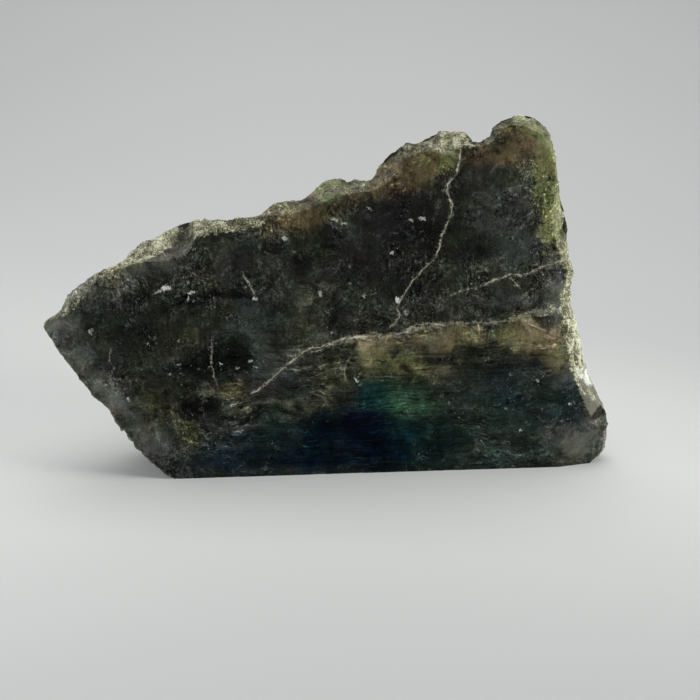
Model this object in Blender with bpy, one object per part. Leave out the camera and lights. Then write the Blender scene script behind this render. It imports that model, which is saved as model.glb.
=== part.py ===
"""Rough labradorite chunk: one broken lump of feldspar, sawn along its foot and its lower left end,
ground nearly flat on its front, and left rough along its top, its right flank and its back.

It stands on the sawn foot with the ground front leaning back a little. +Z is up, the front faces -Y,
and the long way runs along X. The shape is drawn in millimetres from the left tip (x), the front foot
line (y) and the floor (z), then moved so that the origin is under the middle of the stone.
"""

import math

import bmesh
import bpy
from mathutils import Vector, noise
from mathutils.geometry import delaunay_2d_cdt

NAME = "labradorite_chunk"
MM = 0.001

# Driving dimensions, in millimetres and degrees.
LEAN = math.tan(math.radians(6.0))  # the front leans back by 6 degrees
BASE_DEPTH = 44.0  # front to back of the sawn foot at its middle
RIM_STEP = 2.8  # spacing of the points round the outline
FRONT_STEP = 4.6  # spacing of the points inside the ground front
BACK_STEP = 2.9  # spacing of the points inside the broken back
BAND_RINGS = 7  # rings between the crest of the rim and the back

# The outline seen from the front, clockwise from the left tip: x, z, then the width of the broken
# bevel that runs between the crest and the ground front.
BROKEN_TOP = [
    (0.0, 50.5, 0.6),
    (0.5, 53.8, 0.8),
    (3.5, 55.0, 1.0),
    (6.0, 57.2, 1.6),
    (8.2, 61.0, 2.2),
    (13.5, 64.6, 2.0),
    (17.5, 68.3, 1.4),
    (21.5, 69.3, 1.4),
    (26.0, 71.7, 1.8),
    (30.5, 75.5, 4.6),
    (36.0, 77.2, 5.8),
    (43.0, 80.6, 7.2),
    (47.0, 82.2, 4.6),
    (52.0, 83.0, 2.6),
    (59.0, 83.2, 2.4),
    (68.0, 83.8, 1.6),
    (71.5, 86.8, 1.8),
    (77.0, 88.5, 3.2),
    (82.0, 89.2, 2.6),
    (87.5, 92.5, 3.8),
    (91.2, 94.6, 3.6),
    (101.5, 94.6, 2.8),
    (105.5, 98.0, 4.2),
    (109.5, 102.5, 4.4),
    (113.0, 105.0, 3.0),
    (119.0, 106.3, 2.8),
    (122.8, 108.1, 4.8),
    (127.3, 108.1, 5.4),
    (131.5, 107.9, 2.6),
    (135.0, 106.4, 1.4),
    (139.0, 107.0, 1.4),
    (141.0, 110.0, 1.6),
    (143.6, 112.8, 2.0),
    (148.0, 113.8, 2.2),
    (151.5, 112.8, 2.4),
    (155.2, 109.8, 2.2),
    (158.8, 106.0, 1.6),
]
BROKEN_FLANK = [
    (160.6, 101.0, 1.2),
    (162.0, 93.5, 1.4),
    (164.5, 85.5, 4.4),
    (166.5, 77.0, 5.0),
    (167.5, 70.8, 3.2),
    (168.4, 65.0, 1.4),
    (168.2, 56.0, 2.6),
    (170.0, 48.5, 3.2),
    (172.5, 41.5, 4.2),
    (175.2, 33.0, 5.0),
    (178.6, 25.6, 2.8),
    (181.8, 20.0, 1.0),
    (183.2, 14.5, 1.0),
    (183.0, 10.4, 1.6),
    (183.6, 7.0, 2.0),
    (181.6, 2.6, 1.2),
    (177.5, 0.0, 0.0),
]
SAWN_FOOT = [(177.5, 0.0, 0.0), (38.0, 0.0, 0.0)]
SAWN_LEFT = [
    (38.0, 0.0, 0.0),
    (34.5, 2.0, 0.4),
    (26.5, 10.5, 0.4),
    (22.5, 16.8, 0.4),
    (20.0, 19.5, 0.6),
    (19.0, 23.0, 0.6),
    (14.0, 28.5, 0.4),
    (8.5, 36.5, 0.4),
    (3.5, 44.5, 0.4),
    (0.0, 50.5, 0.6),
]

# How each stretch goes back from its crest: the depth of the crest behind the front for each
# millimetre of bevel, how far the side has drawn in when it meets the back, and its roughness.
STRETCHES = {
    "top": {"points": BROKEN_TOP, "crest": 1.1, "draw_in": 6.0, "rough": 1.0},
    "flank": {"points": BROKEN_FLANK, "crest": 1.5, "draw_in": 4.5, "rough": 1.0},
    "foot": {"points": SAWN_FOOT, "crest": 0.0, "draw_in": 0.0, "rough": 0.0},
    "left": {"points": SAWN_LEFT, "crest": 1.0, "draw_in": 1.5, "rough": 0.12},
}

# The pale ledge across the front: where the upper ground face steps out to the lower one.
LEDGE = [
    (66.5, 29.5),
    (74.5, 36.5),
    (78.5, 41.0),
    (83.5, 43.0),
    (89.0, 44.5),
    (95.5, 46.0),
    (108.5, 46.0),
    (115.5, 49.0),
    (123.5, 50.0),
    (143.0, 50.0),
    (151.0, 53.0),
    (162.0, 53.5),
]
LEDGE_LIP = 1.0  # height of the ledge's lip, up the front
LEDGE_STANDS = 1.5  # how far the lower face stands out under the ledge
LEDGE_BAND = 12.0  # how far below the ledge the lower face stands out fully
LEDGE_FADES = 34.0  # how far below the ledge it is flush again
LEDGE_STARTS = (66.0, 98.0)  # the ledge grows from nothing to its full height between these x

# Flats that the front loses at its lower right corner: a point on the flat's near edge, the
# direction in which it falls away, its slope, its deepest point, and the heights that it lies between.
CORNER_FLATS = [
    {"at": (172.3, 23.5), "towards": (0.87, 0.50), "slope": 0.45, "deepest": 3.4, "heights": (16.0, 31.0)},
    {"at": (169.5, 8.0), "towards": (0.93, -0.37), "slope": 0.20, "deepest": 2.4, "heights": (-9.0, 12.0)},
]

# Small chips knocked out of the ground front: x, z, radius, depth.
CHIPS = [
    (38.5, 63.2, 2.3, 0.8),
    (46.2, 61.6, 1.4, 0.5),
    (15.0, 50.6, 1.3, 0.4),
    (24.4, 27.6, 1.7, 0.5),
    (63.5, 59.0, 1.8, 0.5),
    (91.4, 83.2, 1.6, 0.5),
    (102.2, 86.0, 2.6, 0.9),
    (118.2, 83.4, 1.9, 0.6),
    (108.5, 48.8, 1.5, 0.5),
    (148.0, 63.4, 2.1, 0.6),
]
CHIP_CORNERS = 7

# Break planes of the back: the depth y at a point (x, z), and how y changes with x and with z.
# The back is the nearest of them at each place, as a lump knocked off along cleavages is.
BREAK_PLANES = [
    (110.0, 0.0, BASE_DEPTH, 0.03, -0.08),  # upright lower back
    (100.0, 50.0, 40.5, -0.05, -0.36),  # long slope up to the top edge
    (0.0, 51.0, 12.0, 0.56, 0.02),  # left end
    (181.0, 15.0, 15.0, -0.95, -0.05),  # right flank
    (161.0, 95.0, 16.5, -0.80, -0.22),  # thin upper right edge
    (30.0, 74.0, 16.0, 0.34, -1.02),  # slope behind the upper left edge
    (100.0, 96.0, 19.5, 0.40, -1.05),  # slope behind the middle of the top
    (60.0, 20.0, 38.0, 0.20, 0.30),  # scar low on the left of the back
    (146.0, 30.0, 39.0, -0.34, 0.16),  # scar low on the right of the back
]

# Scoops knocked out of the back: x, z, half width, half height, depth.
SCOOPS = [
    (72.0, 52.0, 20.0, 11.0, 5.0),
    (118.0, 24.0, 15.0, 17.0, 4.5),
    (142.0, 66.0, 10.0, 19.0, 4.0),
    (44.0, 36.0, 11.0, 9.0, 3.0),
]
STEP_HEIGHT = 3.4  # cleavage steps on the back
SEED_BACK = Vector((3.1, 7.7, 1.9))
SEED_SIDE = Vector((9.4, 2.2, 5.6))


def clamp(value, low=0.0, high=1.0):
    return max(low, min(high, value))


def ease(low, high, value):
    """0 below low, 1 above high, and a smooth ramp between."""
    t = clamp((value - low) / (high - low))
    return t * t * (3.0 - 2.0 * t)


def lumps(x, y, z, size, seed):
    """Fractal noise of about -1 to 1 whose largest lumps are size millimetres across."""
    return noise.fractal(Vector((x, y, z)) / size + seed, 0.8, 2.1, 3)


def ledge_height(x):
    """z of the ledge at x."""
    for (x0, z0), (x1, z1) in zip(LEDGE, LEDGE[1:]):
        if x <= x1:
            return z0 + (z1 - z0) * clamp((x - x0) / (x1 - x0))
    return LEDGE[-1][1]


def front_relief(x, z):
    """How far the ground front stands out, in front of its plane."""
    below = ledge_height(x) - z
    grows = ease(*LEDGE_STARTS, x)
    lip = 0.55 * ease(0.0, LEDGE_LIP, below) + 0.45 * ease(0.0, LEDGE_BAND, below)
    stands = LEDGE_STANDS * grows * lip * (1.0 - ease(LEDGE_BAND, LEDGE_FADES, below))
    hollow = 0.4 * grows * ease(-7.0, -0.5, below) * (1.0 - ease(-0.5, 0.0, below))
    loss = 0.0
    for flat in CORNER_FLATS:
        run = (x - flat["at"][0]) * flat["towards"][0] + (z - flat["at"][1]) * flat["towards"][1]
        low, high = flat["heights"]
        within = ease(low - 1.5, low + 1.5, z) * (1.0 - ease(high - 1.5, high + 1.5, z))
        loss = max(loss, min(run * flat["slope"], flat["deepest"]) * within)
    for chip_x, chip_z, radius, depth in CHIPS:
        loss += depth * clamp(1.0 - math.hypot(x - chip_x, z - chip_z) / radius)
    wave = 0.25 * lumps(x, 0.0, z, 60.0, SEED_SIDE) * ease(0.0, 12.0, z)
    return stands - hollow - loss + wave


def front_y(x, z):
    return z * LEAN - front_relief(x, z)


def terrace(depth):
    """Pulls a depth towards flat treads with short risers between them."""
    level = math.floor(depth / STEP_HEIGHT)
    part = depth / STEP_HEIGHT - level
    return STEP_HEIGHT * (level + 0.25 * part + 0.75 * ease(0.66, 0.92, part))


def back_y(x, z):
    """Depth of the broken back at (x, z)."""
    sway = 4.0 * noise.noise(Vector((x, 0.0, z)) / 34.0 + SEED_BACK)
    depth = min(y + dx * (x + sway - px) + dz * (z + sway - pz) for px, pz, y, dx, dz in BREAK_PLANES)
    for scoop_x, scoop_z, wide, high, deep in SCOOPS:
        away = math.hypot((x + sway - scoop_x) / wide, (z + sway - scoop_z) / high)
        depth -= deep * (1.0 - ease(0.35, 1.0, away))
    depth += 1.4 * lumps(x, 4.0, z, 26.0, SEED_BACK)
    slanted = 0.16 * x + 0.12 * z + 3.0 * noise.noise(Vector((x, 5.0, z)) / 36.0 + SEED_SIDE)
    stepped = terrace(depth + slanted) - slanted
    depth += (stepped - depth) * ease(-0.25, 0.15, noise.noise(Vector((x, 2.0, z)) / 24.0 + SEED_SIDE))
    depth += 0.55 * lumps(x, 9.0, z, 8.0, SEED_SIDE)
    return max(depth, front_y(x, z) + 5.0)


def smooth_curve(points, per_span=12):
    """A Catmull-Rom curve through the points, as a dense list. A pair of points gives a straight line."""
    padded = [points[0]] + list(points) + [points[-1]]
    dense = []
    for p0, p1, p2, p3 in zip(padded, padded[1:], padded[2:], padded[3:]):
        for k in range(per_span):
            t = k / per_span
            dense.append(
                tuple(
                    0.5 * (2 * b + (c - a) * t + (2 * a - 5 * b + 4 * c - d) * t**2 + (3 * b - a - 3 * c + d) * t**3)
                    for a, b, c, d in zip(p0, p1, p2, p3)
                )
            )
    dense.append(points[-1])
    return dense


def walk(dense, step):
    """Points at an even spacing of about step along a dense line, the last one left out."""
    lengths = [math.dist(a[:2], b[:2]) for a, b in zip(dense, dense[1:])]
    count = max(2, round(sum(lengths) / step))
    spacing = sum(lengths) / count
    found, travelled, span = [], 0.0, 0
    for k in range(count):
        target = k * spacing
        while travelled + lengths[span] < target:
            travelled += lengths[span]
            span += 1
        t = (target - travelled) / lengths[span]
        found.append(tuple(a + (b - a) * t for a, b in zip(dense[span], dense[span + 1])))
    return found


def outline():
    """The stations round the rim, each with its place, bevel and stretch, and an outward normal."""
    stations = []
    for kind, stretch in STRETCHES.items():
        points = stretch["points"]
        dense = smooth_curve(points) if len(points) > 2 else points
        stations += [{"x": x, "z": z, "bevel": max(b, 0.0), "kind": kind} for x, z, b in walk(dense, RIM_STEP)]
    count = len(stations)
    for i, station in enumerate(stations):
        along = Vector((0.0, 0.0))
        for reach in (1, 2, 3):
            ahead, behind = stations[(i + reach) % count], stations[i - reach]
            along += Vector((ahead["x"] - behind["x"], ahead["z"] - behind["z"])).normalized()
        along.normalize()
        station["out"] = Vector((-along.y, along.x))
    for key in ("crest", "draw_in", "rough"):
        raw = [STRETCHES[s["kind"]][key] for s in stations]
        for i, station in enumerate(stations):
            near = [raw[(i + k) % count] for k in range(-2, 3)]
            station[key] = 0.0 if station["kind"] == "foot" else sum(near) / len(near)
    for station in stations:
        if station["kind"] == "foot":
            station["out"] = Vector((0.0, -1.0))
    return stations


def side_point(station, share):
    """A point of the side at share of the way from the crest (0) to the back (1)."""
    out, rough = station["out"], station["rough"]
    x_back, z_back = Vector((station["x"], station["z"])) - out * station["draw_in"]
    depth_back = back_y(x_back, max(z_back, 0.0))
    depth_crest = front_y(station["x"], station["z"]) + station["bevel"] * station["crest"]
    depth_crest += rough * 0.7 * lumps(station["x"], 3.0, station["z"], 9.0, SEED_BACK)
    depth_crest = min(depth_crest, 0.6 * depth_back + 0.4 * front_y(station["x"], station["z"]))
    y = depth_crest + (depth_back - depth_crest) * share
    inside = station["draw_in"] * share**1.5
    ragged = 1.3 * lumps(station["x"], y, station["z"], 13.0, SEED_SIDE)
    ragged += 0.5 * lumps(station["x"], y, station["z"], 5.0, SEED_BACK)
    inside -= rough * ragged * math.sin(math.pi * clamp(0.12 + 0.76 * share))
    place = Vector((station["x"], station["z"])) - out * inside
    z = 0.0 if station["kind"] == "foot" else max(place.y, 0.0)
    return Vector((place.x, y, z))


def inside_polygon(x, z, polygon):
    odd = False
    for (x0, z0), (x1, z1) in zip(polygon, polygon[1:] + polygon[:1]):
        if (z0 > z) != (z1 > z) and x < x0 + (x1 - x0) * (z - z0) / (z1 - z0):
            odd = not odd
    return odd


def nearest_edge(x, z, line, closed=True):
    point, best = Vector((x, z)), math.inf
    pairs = zip(line, line[1:] + line[:1]) if closed else zip(line, line[1:])
    for start, end in pairs:
        a, b = Vector(start), Vector(end)
        t = clamp((point - a).dot(b - a) / max((b - a).length_squared, 1e-9))
        best = min(best, (point - a - (b - a) * t).length)
    return best


def scatter(polygon, step, lines=()):
    """Points on a staggered, slightly shaken grid inside the polygon, clear of its edge and of the lines."""
    xs, zs = [p[0] for p in polygon], [p[1] for p in polygon]
    row_height = step * math.sqrt(3) / 2
    found = []
    for row in range(int((max(zs) - min(zs)) / row_height) + 1):
        z = min(zs) + row * row_height
        for column in range(int((max(xs) - min(xs)) / step) + 2):
            x = min(xs) + (column + 0.5 * (row % 2)) * step
            shake = noise.noise_vector(Vector((x, 0.0, z)) * 0.9 + SEED_SIDE) * (0.25 * step)
            px, pz = x + shake.x, z + shake.z
            if not inside_polygon(px, pz, polygon) or nearest_edge(px, pz, polygon) < 0.55 * step:
                continue
            if all(nearest_edge(px, pz, line, closed=False) > 0.55 * step for line in lines):
                found.append((px, pz))
    return found


def cover(mesh, rim, depth_at, step, lines=(), single=()):
    """Fills the loop of rim vertices with triangles whose depth at (x, z) is depth_at(x, z)."""
    polygon = [(v.co.x, v.co.z) for v in rim]
    flat = polygon + scatter(polygon, step, lines) + list(single)
    edges = []
    for line in lines:
        edges += [(len(flat) + k, len(flat) + k + 1) for k in range(len(line) - 1)]
        flat += line
    loop = list(range(len(rim)))
    filled = delaunay_2d_cdt([Vector(p) for p in flat], edges, [loop], 1, 1e-6)
    corners, triangles, sources = filled[0], filled[2], filled[3]
    placed = []
    for corner, source in zip(corners, sources):
        on_rim = [k for k in source if k < len(rim)]
        if on_rim:
            placed.append(rim[on_rim[0]])
        else:
            placed.append(mesh.verts.new((corner.x, depth_at(corner.x, corner.y), corner.y)))
    for triangle in triangles:
        mesh.faces.new([placed[k] for k in triangle])


def ledge_lines():
    """The ledge's upper edge and the foot of its lip, as lines that the front's triangles follow."""
    upper = [point[:2] for point in walk(smooth_curve(LEDGE), 3.0)]
    lower = [(x, z - LEDGE_LIP * ease(*LEDGE_STARTS, x) - 0.35) for x, z in upper]
    return [upper, lower]


def chip_rims():
    """The closed rim of each chip."""
    rims = []
    for x, z, radius, _ in CHIPS:
        turns = [math.tau * k / CHIP_CORNERS + x for k in range(CHIP_CORNERS + 1)]
        rims.append([(x + radius * math.cos(turn), z + radius * math.sin(turn)) for turn in turns])
    return rims


def build_chunk():
    stations = outline()
    mesh = bmesh.new()
    rings = []
    front = []
    for station in stations:
        place = Vector((station["x"], station["z"])) - station["out"] * station["bevel"]
        z = max(place.y, 0.0)
        front.append(mesh.verts.new((place.x, front_y(place.x, z), z)))
    rings.append(front)
    for ring in range(BAND_RINGS + 1):
        share = ring / BAND_RINGS
        rings.append([mesh.verts.new(side_point(station, share)) for station in stations])
    count = len(stations)
    for nearer, further in zip(rings, rings[1:]):
        for i in range(count):
            j = (i + 1) % count
            mesh.faces.new((nearer[i], nearer[j], further[j], further[i]))
    chip_middles = [(x, z) for x, z, _, _ in CHIPS]
    cover(mesh, rings[0], front_y, FRONT_STEP, ledge_lines() + chip_rims(), chip_middles)
    cover(mesh, rings[-1], back_y, BACK_STEP)
    bmesh.ops.remove_doubles(mesh, verts=mesh.verts, dist=0.02)
    bmesh.ops.recalc_face_normals(mesh, faces=mesh.faces)
    return mesh


def centre_on_foot(mesh):
    """Moves the origin under the middle of the stone, and turns millimetres into metres."""
    xs = [v.co.x for v in mesh.verts]
    ys = [v.co.y for v in mesh.verts]
    middle = Vector(((min(xs) + max(xs)) / 2, (min(ys) + max(ys)) / 2, 0.0))
    for v in mesh.verts:
        v.co = (v.co - middle) * MM


def stone_material():
    material = bpy.data.materials.new("labradorite")
    material.use_nodes = True
    shader = material.node_tree.nodes["Principled BSDF"]
    shader.inputs["Base Color"].default_value = (0.035, 0.037, 0.029, 1.0)
    shader.inputs["Roughness"].default_value = 0.45
    shader.inputs["Metallic"].default_value = 0.0
    return material


def main():
    for obj in list(bpy.data.objects):
        bpy.data.objects.remove(obj)
    mesh = build_chunk()
    centre_on_foot(mesh)
    data = bpy.data.meshes.new(NAME)
    mesh.to_mesh(data)
    mesh.free()
    data.materials.append(stone_material())
    chunk = bpy.data.objects.new(NAME, data)
    bpy.context.scene.collection.objects.link(chunk)


main()
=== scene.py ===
import math

import bmesh
import bpy
import numpy as np
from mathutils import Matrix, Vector, kdtree, noise


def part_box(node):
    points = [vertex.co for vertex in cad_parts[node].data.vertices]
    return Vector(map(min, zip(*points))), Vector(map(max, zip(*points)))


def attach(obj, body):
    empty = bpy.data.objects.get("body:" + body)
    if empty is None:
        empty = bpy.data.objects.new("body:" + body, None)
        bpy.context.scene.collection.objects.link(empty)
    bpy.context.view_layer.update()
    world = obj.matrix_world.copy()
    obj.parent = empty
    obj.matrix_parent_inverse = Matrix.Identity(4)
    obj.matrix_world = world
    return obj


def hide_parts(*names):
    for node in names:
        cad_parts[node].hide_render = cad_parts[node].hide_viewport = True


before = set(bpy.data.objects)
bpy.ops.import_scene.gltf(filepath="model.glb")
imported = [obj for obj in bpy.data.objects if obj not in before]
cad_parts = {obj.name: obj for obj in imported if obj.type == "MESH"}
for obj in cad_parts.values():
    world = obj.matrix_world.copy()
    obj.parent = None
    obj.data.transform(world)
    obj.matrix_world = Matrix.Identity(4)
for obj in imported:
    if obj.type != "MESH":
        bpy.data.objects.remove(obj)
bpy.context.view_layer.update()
mm = 0.001

chunkNode = "labradorite_chunk"
lowCorner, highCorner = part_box(chunkNode)
leftTip = lowCorner.x / mm  # every place on the stone below is in mm: x from the left tip,
frontFoot = lowCorner.y / mm  # y from the front foot line, z from the floor
lean = math.tan(math.radians(6.0))  # the ground front leans back

camera = {
    "lens": 50.0,
    "sensor": 36.0,
    "place": (76.55, -284.8, 153.3),  # mm, as above
    "lookDown": 21.0,
    "turnRight": 3.76,
}

studio = {
    "floorFront": -1500.0,  # mm, the near end of the floor
    "floorBack": 230.0,  # where the floor starts to curve up
    "sweepRadius": 260.0,
    "sweepTop": 900.0,
    "halfWidth": 1600.0,
    "middle": 90.0,
    "sweepSteps": 24,
    "floorColour": "#cdcfcf",
    "floorRoughness": 0.75,
    "worldColour": "#d4d7da",
    "worldStrength": 0.45,
    "view": "Standard",
    "lightColour": "#fffdfa",
    # place and aim in mm, width and height in mm, watts, spread in degrees
    "lights": {
        "overheadSoftbox": {
            "place": (130, 150, 860), "aim": (95, 10, 20), "size": (900, 600), "watts": 5.4, "spread": 180,
        },
        "leftFill": {
            "place": (-420, 70, 190), "aim": (30, 10, 0), "size": (300, 300), "watts": 0.2, "spread": 100,
        },
        "lowFill": {
            "place": (-110, -90, 80), "aim": (22, 2, 4), "size": (120, 120), "watts": 0.01, "spread": 60,
        },
        "rightRim": {
            "place": (430, -90, 150), "aim": (168, 8, 50), "size": (120, 120), "watts": 0.065, "spread": 45,
            "colour": "#fffdf8",
        },
    },
}


def toLinear(hexColour):
    parts = [int(hexColour[i : i + 2], 16) / 255 for i in (1, 3, 5)]
    return tuple(p / 12.92 if p <= 0.04045 else ((p + 0.055) / 1.055) ** 2.4 for p in parts) + (1.0,)


def inFrame(place):  # mm on the stone to metres in the frame
    return Vector(((place[0] + leftTip) * mm, (place[1] + frontFoot) * mm, place[2] * mm))


def addNode(tree, kind, inputs=None, **settings):
    made = tree.nodes.new("ShaderNode" + kind)
    for name, value in settings.items():
        setattr(made, name, value)
    for key, value in (inputs or {}).items():
        if isinstance(value, bpy.types.Node):
            value = next(output for output in value.outputs if output.enabled)
        if isinstance(value, bpy.types.NodeSocket):
            tree.links.new(value, made.inputs[key])
        else:
            made.inputs[key].default_value = value
    return made


def newObject(name, data):
    made = bpy.data.objects.new(name, data)
    bpy.context.scene.collection.objects.link(made)
    return made


def newMaterial(name):
    material = bpy.data.materials.new(name)
    material.use_nodes = True
    material.node_tree.nodes.clear()
    return material, material.node_tree


# camera
lens = bpy.data.cameras.new("camera")
lens.lens, lens.sensor_width, lens.sensor_fit = camera["lens"], camera["sensor"], "HORIZONTAL"
lens.clip_start, lens.clip_end = 0.01, 20.0
viewer = newObject("camera", lens)
viewer.location = inFrame(camera["place"])
viewer.rotation_euler = (math.radians(90 - camera["lookDown"]), 0.0, math.radians(-camera["turnRight"]))
bpy.context.scene.camera = viewer
print("camera set")


# floor that sweeps up behind the stone
def buildFloor():
    s = studio
    profile = [(s["floorFront"], 0.0), (s["floorBack"], 0.0)]
    for step in range(1, s["sweepSteps"] + 1):
        turn = math.pi / 2 * step / s["sweepSteps"]
        y = s["floorBack"] + s["sweepRadius"] * math.sin(turn)
        profile.append((y, s["sweepRadius"] * (1 - math.cos(turn))))
    profile.append((profile[-1][0], s["sweepTop"]))
    mesh = bmesh.new()
    sides = []
    for x in (-s["halfWidth"], s["halfWidth"]):
        sides.append([mesh.verts.new(inFrame((x + s["middle"], y, z))) for y, z in profile])
    for k in range(len(profile) - 1):
        mesh.faces.new((sides[0][k], sides[1][k], sides[1][k + 1], sides[0][k + 1]))
    data = bpy.data.meshes.new("floor")
    mesh.to_mesh(data)
    mesh.free()
    data.shade_smooth()
    material, tree = newMaterial("backdropPaper")  # heavy matt paper: an even pale grey
    paper = {"Base Color": toLinear(s["floorColour"]), "Roughness": s["floorRoughness"]}
    shader = addNode(tree, "BsdfPrincipled", paper)
    addNode(tree, "OutputMaterial", {"Surface": shader.outputs["BSDF"]})
    data.materials.append(material)
    floor = newObject("floor", data)


def buildLights():
    for name, light in studio["lights"].items():
        data = bpy.data.lights.new(name, "AREA")
        data.shape = "RECTANGLE"
        data.size, data.size_y = light["size"][0] * mm, light["size"][1] * mm
        data.energy = light["watts"]
        data.spread = math.radians(light["spread"])
        data.color = toLinear(light.get("colour", studio["lightColour"]))[:3]
        lamp = newObject(name, data)
        lamp.location = inFrame(light["place"])
        aim = inFrame(light["aim"]) - lamp.location
        lamp.rotation_euler = aim.to_track_quat("-Z", "Y").to_euler()
    world = bpy.data.worlds.new("softRoom")
    world.use_nodes = True
    background = world.node_tree.nodes["Background"]
    background.inputs["Color"].default_value = toLinear(studio["worldColour"])
    background.inputs["Strength"].default_value = studio["worldStrength"]
    bpy.context.scene.world = world
    bpy.context.scene.view_settings.view_transform = studio["view"]


buildFloor()
buildLights()
print("floor and lights set")


# the stone's shape
stoneShape = {
    "levels": 2,  # each splits every face in four
    "fits": 3,  # times that the cage is pushed out
    "fitStep": 0.9,  # share of the miss that it is pushed by
    "sharpFrom": 28.0,  # degrees between faces, from which an arris on a ground or sawn face stays sharp
    "arrisCrease": 0.85,  # 1 is a knife edge
    "rimDepth": 9.0,  # mm behind the ground front, as far as the mesh is finer
    "rimFrom": 4.0,  # mm above the floor
    "joinAngle": 0.35,  # radians between triangles that are joined into one face
    "lumps": [(11.0, 0.55), (4.2, 0.45), (1.9, 0.34), (0.9, 0.22)],  # size and height in mm, where broken
    "stepHeight": 1.5,  # mm, cleavage steps on broken faces
    "stepDepth": 0.55,
    "cleavage": (0.30, 0.86, 0.42),  # direction that the steps climb in
    "stepBend": (14.0, 1.2),  # size and height in mm
    "stepPatch": 16.0,  # mm across the patches that have steps
    "groundWave": [(30.0, 0.10), (7.0, 0.035)],  # slow waves that a hand-held grinder leaves
    # holes broken into the flank and rim beside the front: depth, x, z, half width, half height, tilt
    "pits": [
        (2.4, 170.8, 37, 1.3, 3.2, 12), (1.3, 167.8, 46, 1.1, 2.4, 10), (1, 172.5, 31.5, 0.9, 1.6, 30),
        (1, 167, 58.5, 1, 2.6), (0.9, 165.5, 77, 0.9, 2.2), (1.2, 179, 14, 1.2, 1.8),
        (0.9, 152, 113.5, 2.2, 1, -20), (0.9, 136, 106.5, 2.4, 1), (1, 95, 94, 2.6, 1, 10),
        (0.9, 59, 82.5, 2.4, 1.1, 5), (0.8, 43, 78, 2, 1.2, 25),
    ],
    "pitReach": 9.0,  # mm behind the front
    "pitFray": (1.6, 0.35),  # size in mm, and share of the pit
    # places where the outline is fuller or flatter: x, z, reach, then the shift along x and z in mm
    "swells": [
        (147.5, 115, 4.5, 0, -0.9), (153.5, 112, 3.2, 0.5, 0.7), (157.5, 107.5, 4.5, 1.5, 0.9),
        (54.5, 82.5, 6, 0, 0.8), (180.5, 7, 4, 0.6, 0), (66, 84, 4, 0, 0.5),
    ],
    "chipSize": 4.5,  # mm, nicks along the arrises
    "chipDepth": 0.9,
    "chipReach": 1.6,
    "chipOnGround": 0.2,  # share of that depth where no broken face meets the arris
}
groundSkin, brokenSkin, sawnSkin = 0, 1, 2

# how a face's place in mm and the way it points tell its skin
skinLimits = {
    "footPoints": -0.995,
    "footHeight": 0.05,
    "frontPoints": -0.80,
    "frontDepth": 4.5,  # either side of the leaning plane
    "endRight": 38.5,
    "endTop": 51.0,
    "endPoints": -0.45,
    "endTwist": 0.42,
}


def skinOf(face):
    centre = face.calc_center_median()
    x, y, z = centre.x / mm - leftTip, centre.y / mm - frontFoot, centre.z / mm
    normal = face.normal
    limit = skinLimits
    if normal.z < limit["footPoints"] and z < limit["footHeight"]:
        return sawnSkin
    if normal.y < limit["frontPoints"] and abs(y - z * lean) < limit["frontDepth"]:
        return groundSkin
    atEnd = x < limit["endRight"] and z < limit["endTop"]
    if atEnd and normal.x < limit["endPoints"] and abs(normal.y) < limit["endTwist"]:
        return sawnSkin
    return brokenSkin


def fineMesh(node):
    shape = stoneShape
    mesh = bmesh.new()
    mesh.from_mesh(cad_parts[node].data)
    bmesh.ops.remove_doubles(mesh, verts=mesh.verts, dist=1e-6)
    mesh.normal_update()
    for face in mesh.faces:
        face.material_index = skinOf(face)
    mesh.edges.ensure_lookup_table()
    creases = mesh.edges.layers.float.new("crease_edge")
    for edge in mesh.edges:
        skins = {face.material_index for face in edge.link_faces}
        angle = math.degrees(edge.calc_face_angle(0.0))
        if skins != {brokenSkin} and (angle > shape["sharpFrom"] or len(skins) > 1):
            edge[creases] = shape["arrisCrease"]
    bmesh.ops.join_triangles(
        mesh, faces=mesh.faces[:], cmp_materials=True,
        angle_face_threshold=shape["joinAngle"], angle_shape_threshold=0.9,
    )
    data = bpy.data.meshes.new("stone")
    mesh.to_mesh(data)
    mesh.free()
    rough = newObject("stoneCage", data)
    divide = rough.modifiers.new("divide", "SUBSURF")
    divide.levels = divide.render_levels = shape["levels"]
    divide.use_limit_surface = False
    corners = np.array([vert.co[:] for vert in data.vertices])
    cage = corners.copy()
    for attempt in range(shape["fits"] + 1):  # smoothing draws the corners in, so the cage is pushed out
        data.vertices.foreach_set("co", cage.ravel())
        data.update()
        graph = bpy.context.evaluated_depsgraph_get()
        graph.update()
        fine = bpy.data.meshes.new_from_object(rough.evaluated_get(graph))
        smoothed = np.array([vert.co[:] for vert in fine.vertices[: len(corners)]])
        missed = corners - smoothed
        print("corner miss in mm:", round(float(np.abs(missed).max() / mm), 3))
        if attempt < shape["fits"]:
            cage += shape["fitStep"] * missed
            bpy.data.meshes.remove(fine)
    bpy.data.objects.remove(rough)
    mesh = bmesh.new()
    mesh.from_mesh(fine)
    edges = set()
    for face in mesh.faces:  # the crumbly rim that the ground front ends in gets a finer mesh
        centre = face.calc_center_median() / mm
        depth = centre.y - frontFoot - centre.z * lean
        if face.material_index == brokenSkin and depth < shape["rimDepth"] and centre.z > shape["rimFrom"]:
            edges.update(face.edges)
    bmesh.ops.subdivide_edges(mesh, edges=list(edges), cuts=1, use_grid_fill=True, smooth=0.0)
    mesh.to_mesh(fine)
    mesh.free()
    return fine


def smoothStep(low, high, value):  # high may be below low
    t = np.clip((value - low) / (high - low), 0.0, 1.0)
    return t * t * (3 - 2 * t)


def fractal(points, size, seed, octaves=3):  # about -1 to 1, with its largest lumps size mm across
    shift = Vector((seed * 3.7, seed * 1.3, seed * 2.1))
    return np.array([noise.fractal(Vector(p) / size + shift, 0.8, 2.1, octaves) for p in points])


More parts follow.
